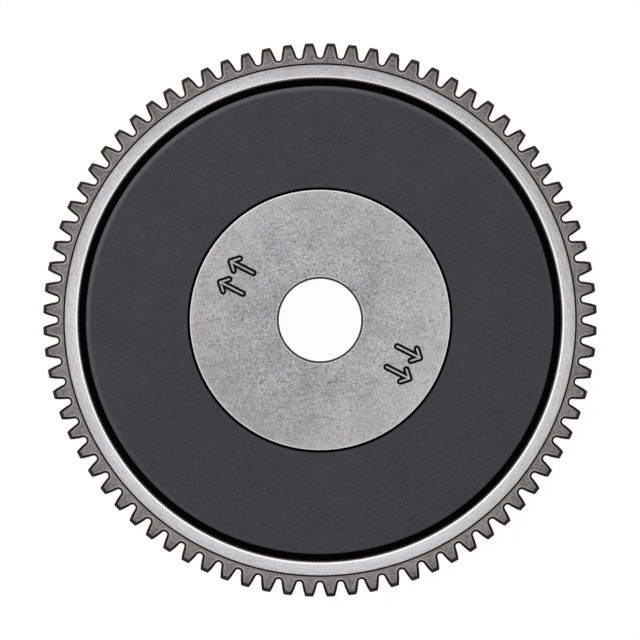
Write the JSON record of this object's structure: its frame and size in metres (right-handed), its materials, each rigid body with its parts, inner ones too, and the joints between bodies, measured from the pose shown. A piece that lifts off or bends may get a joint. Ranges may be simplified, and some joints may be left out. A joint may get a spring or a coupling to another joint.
{
  "type": "worm gear",
  "caption": "Gear wheel of a worm drive, with straight involute teeth on a turned steel rim, a dark moulded web and a steel hub with a plain bore.",
  "frame": {"origin": "middle of the bore, half way between the hub's two faces", "axes": "+Z along the bore axis, towards the face that carries the arrow marks; a tooth space lies on +X and one on +Y; the gear lies flat on the hub's other face"},
  "size_m": [0.164, 0.164, 0.022],
  "materials": {
    "rim_steel": "machined, bright on the turned land and darker on the teeth",
    "web_plastic": "matte moulded",
    "hub_steel": "dull, fine grained"
  },
  "bodies": {
    "root": {"toothed_rim": "rim_steel", "web": "web_plastic", "hub": "hub_steel"}
  },
  "joints": []
}
